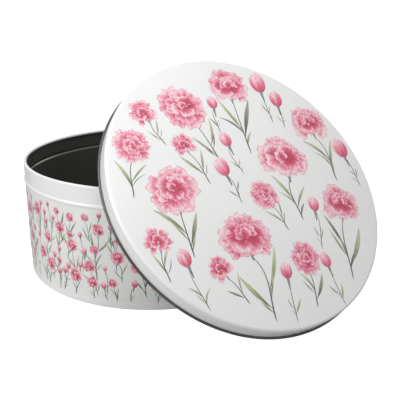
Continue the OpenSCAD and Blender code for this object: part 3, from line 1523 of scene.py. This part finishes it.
@dataclass
class WallPrint:
    """Small carnations and buds spread evenly round the wall."""

    body: TinBody
    seed: int = 5
    kinds: tuple[tuple[Head, int, Pair], ...] = (
        (Head.MINI, 84, (8.5 * MM, 11.0 * MM)),
        (Head.MINI, 46, (5.5 * MM, 7.5 * MM)),
        (Head.BUD, 136, (3.0 * MM, 4.6 * MM)))
    tries: int = 14
    low: float = 12.0 * MM
    headroom: float = 0.95
    gap: float = 0.8 * MM
    bare_strip: float = 7.0 * MM
    stems: Pair = (12.0 * MM, 19.0 * MM)
    lean: float = 16.0
    leaves: int = 4

    def sprigs(self) -> list[Sprig]:
        """Scatters the sprigs round the wall, clear of the side lap and of the bead.

        Each sprig takes the one of a few random places that is farthest from the others.

        Returns:
            The sprigs, the larger ones first.
        """
        dice = random.Random(self.seed)
        start = math.radians(self.body.lap_azimuth) * self.body.radius + self.bare_strip / 2.0
        span = FULL_TURN * self.body.radius - self.bare_strip
        top = self.body.bead_height - self.body.bead_half - self.gap
        sprigs: list[Sprig] = []
        for head, count, sizes in self.kinds:
            for _ in range(count):
                size = dice.uniform(*sizes)
                half = size / 2.0
                spots = [(start + dice.uniform(half, span - half),
                          dice.uniform(self.low, top - self.headroom * size))
                         for _ in range(self.tries)]
                spot = max(spots, key=lambda place: self._room(place, sprigs))
                stem = min(dice.uniform(*self.stems), spot[1] - self.body.print_foot)
                lean = UPRIGHT + dice.uniform(-self.lean, self.lean)
                sprigs.append(Sprig(head, spot, size, lean, stem, self.leaves))
        return sprigs

    @staticmethod
    def _room(place: Pair, sprigs: list[Sprig]) -> float:
        """Measures how far a place is from the nearest head, less half of that head.

        Args:
            place: The place.
            sprigs: The sprigs that are there already.

        Returns:
            The distance.
        """
        return min((math.dist(place, other.place) - other.size / 2.0 for other in sprigs),
                   default=0.0)

    def build(self, petals: bpy.types.Material, leaves: bpy.types.Material) -> None:
        """Paints the sprigs and lays both inks on the wall."""
        painter = FlowerPainter(self.seed, petal_rows=3, teeth=(2, 3), leaf_rows=6)
        painter.paint(self.sprigs())
        for name, film, ink, slot in (("wall_flowers", painter.blooms, petals, "flower_ink"),
                                      ("wall_leaves", painter.greens, leaves, "leaf_ink")):
            piece = film.lay(name, self.body.surface(), ink)
            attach(piece, "tin")
            LOG.info("%s: %d faces", name, len(piece.data.polygons))


# ---------------------------------------------------------------------------
# The studio
# ---------------------------------------------------------------------------

@dataclass(frozen=True)
class SoftLight:
    """A square soft light that points at the tin, placed in tin radii."""

    name: str
    place: tuple[float, float, float]
    size: float
    power: float

    def build(self, radius: float, aim: Vector) -> None:
        """Makes the light.

        Args:
            radius: The tin's radius.
            aim: Point that the light faces.
        """
        lamp = bpy.data.lights.new(self.name, "AREA")
        lamp.shape = "SQUARE"
        lamp.size = self.size * radius
        lamp.energy = self.power
        holder = bpy.data.objects.new(self.name, lamp)
        holder.location = Vector(self.place) * radius
        holder.rotation_euler = (aim - holder.location).to_track_quat("-Z", "Y").to_euler()
        bpy.context.scene.collection.objects.link(holder)


@dataclass
class Studio:
    """Camera, pale floor and soft light. Distances are in tin radii."""

    radius: float
    eye_distance: float = 4.711
    eye_azimuth: float = -28.7
    eye_height: float = 2.001
    heading: float = 32.87
    tilt: float = -18.25
    lens: float = 55.6
    sensor: float = 36.0
    near_clip: float = 0.01
    aim: tuple[float, float, float] = (0.0, -0.5, 0.4)
    floor_reach: float = 60.0
    floor_grey: float = 0.55
    floor_roughness: float = 0.9
    floor_light: float = 0.97
    world_light: float = 0.12
    world_seen: float = 1.05
    lights: tuple[SoftLight, ...] = (
        SoftLight("overhead", (0.6, -0.4, 8.0), 6.0, 0.76),
        SoftLight("upper_left", (-5.0, -1.0, 6.0), 3.0, 0.95),
        SoftLight("left", (-6.0, 0.0, 2.0), 3.0, 0.96),
        SoftLight("front_left", (-4.0, -6.0, 1.0), 3.0, 0.46),
        SoftLight("near", (-0.4, -2.3, 4.2), 2.0, 0.58),
        SoftLight("right", (7.0, 2.0, 2.5), 4.0, 0.8),
    )

    def build_camera(self) -> None:
        """Makes the camera and gives it to the scene."""
        data = bpy.data.cameras.new("camera")
        data.lens = self.lens
        data.sensor_width = self.sensor
        data.clip_start = self.near_clip
        camera = bpy.data.objects.new("camera", data)
        azimuth = math.radians(self.eye_azimuth)
        reach = self.eye_distance * self.radius
        camera.location = (reach * math.sin(azimuth), -reach * math.cos(azimuth),
                           self.eye_height * self.radius)
        camera.rotation_euler = (math.radians(90.0 + self.tilt), 0.0, math.radians(-self.heading))
        bpy.context.scene.collection.objects.link(camera)
        bpy.context.scene.camera = camera

    def build(self) -> None:
        """Makes the world, the floor and the lights."""
        bpy.context.scene.view_settings.view_transform = "Standard"
        self._world()
        self._floor()
        for light in self.lights:
            light.build(self.radius, Vector(self.aim) * self.radius)

    def _world(self) -> None:
        """Makes a plain white world, at full white for the camera and in reflections."""
        world = bpy.data.worlds.new("studio")
        world.use_nodes = True
        desk = NodeDesk(world.node_tree)
        background = world.node_tree.nodes["Background"]
        background.inputs["Color"].default_value = (1.0, 1.0, 1.0, 1.0)
        path = desk.add("LightPath")
        seen = desk.sums("MAXIMUM", path.outputs["Is Camera Ray"], path.outputs["Is Glossy Ray"])
        strength = desk.sums("MULTIPLY_ADD", seen, self.world_seen - self.world_light,
                             self.world_light)
        desk.join(strength, background.inputs["Strength"])
        bpy.context.scene.world = world

    def _floor(self) -> None:
        """Makes a plain pale floor, lit from within like a light table."""
        reach = self.floor_reach * self.radius
        mesh = bpy.data.meshes.new("floor")
        mesh.from_pydata([(-reach, -reach, 0.0), (reach, -reach, 0.0), (reach, reach, 0.0),
                          (-reach, reach, 0.0)], [], [[0, 1, 2, 3]])
        material = bpy.data.materials.new("pale floor")
        material.use_nodes = True
        desk = NodeDesk(material.node_tree)
        shader = material.node_tree.nodes["Principled BSDF"]
        shader.inputs["Base Color"].default_value = (*(self.floor_grey,) * 3, 1.0)
        shader.inputs["Roughness"].default_value = self.floor_roughness
        shader.inputs["Emission Color"].default_value = (1.0, 1.0, 1.0, 1.0)
        seen = desk.add("LightPath").outputs["Is Camera Ray"]
        desk.join(desk.sums("MULTIPLY", seen, self.floor_light), shader.inputs["Emission Strength"])
        mesh.materials.append(material)
        floor = bpy.data.objects.new("floor", mesh)
        bpy.context.scene.collection.objects.link(floor)


def main() -> None:
    """Builds the studio, the tin, the lid and the print, in that order."""
    logging.basicConfig(level=logging.INFO, format="%(name)s %(message)s")
    body = TinBody()
    studio = Studio(body.radius)
    studio.build_camera()
    body.build()
    BottomEnd().build()
    lid = Lid()
    lid.build()
    petals = PetalInk().build("petal ink")
    leaves = LeafInk().build("leaf ink")
    LidPrint(lid).build(petals, leaves)
    WallPrint(body).build(petals, leaves)
    studio.build()


if __name__ == "__main__":
    main()
